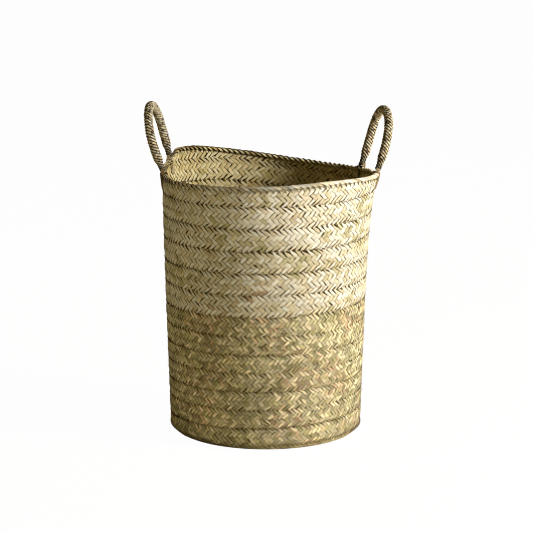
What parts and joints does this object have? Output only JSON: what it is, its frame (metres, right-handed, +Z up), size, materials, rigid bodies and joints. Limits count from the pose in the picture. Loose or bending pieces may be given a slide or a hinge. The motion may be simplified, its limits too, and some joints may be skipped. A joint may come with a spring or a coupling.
{
  "type": "palm leaf basket",
  "caption": "Tall round floor basket of spiral-sewn plaited palm leaf bands, with a flat base, a plaited rim and stiff wrapped rope handles.",
  "frame": {"origin": "centre of the underside of the base, on the surface the basket stands on", "axes": "+Z up along the basket's axis; -Y towards the front of the picture; -X and +X towards the two handles"},
  "size_m": [0.4611, 0.4031, 0.6182],
  "materials": {
    "green_leaf": "dry plaited palm leaf, greenish, satin",
    "pale_leaf": "dry plaited palm leaf, straw coloured, satin",
    "leaf_cord": "twisted palm leaf cord, matte",
    "rope_leaf": "laid palm leaf cord wrapped round a core, matte"
  },
  "bodies": {
    "basket": {"base_spiral": "green_leaf", "base_seam_cord": "leaf_cord", "base_edge_cord": "leaf_cord", "wall_band_lower": "green_leaf", "wall_band_upper": "pale_leaf", "wall_seam_cord": "leaf_cord", "rim_edging": "pale_leaf", "left_front_tie": "pale_leaf", "left_back_tie": "pale_leaf", "right_front_tie": "pale_leaf", "right_back_tie": "pale_leaf"},
    "left_handle": {"left_handle_core": "leaf_cord", "left_handle_wrap": "rope_leaf"},
    "right_handle": {"right_handle_core": "leaf_cord", "right_handle_wrap": "rope_leaf"}
  },
  "joints": [
    {"name": "left_handle_swing", "type": "hinge", "parent": "basket", "child": "left_handle", "pos_m": [-0.18574, 0.01912, 0.5054], "axis": [-0.0769, -0.9952, -0.061], "range_deg": [-104, 60]},
    {"name": "right_handle_swing", "type": "hinge", "parent": "basket", "child": "right_handle", "pos_m": [0.19627, 0.05048, 0.49227], "axis": [-0.2721, 0.9604, -0.0604], "range_deg": [-100, 60]}
  ]
}
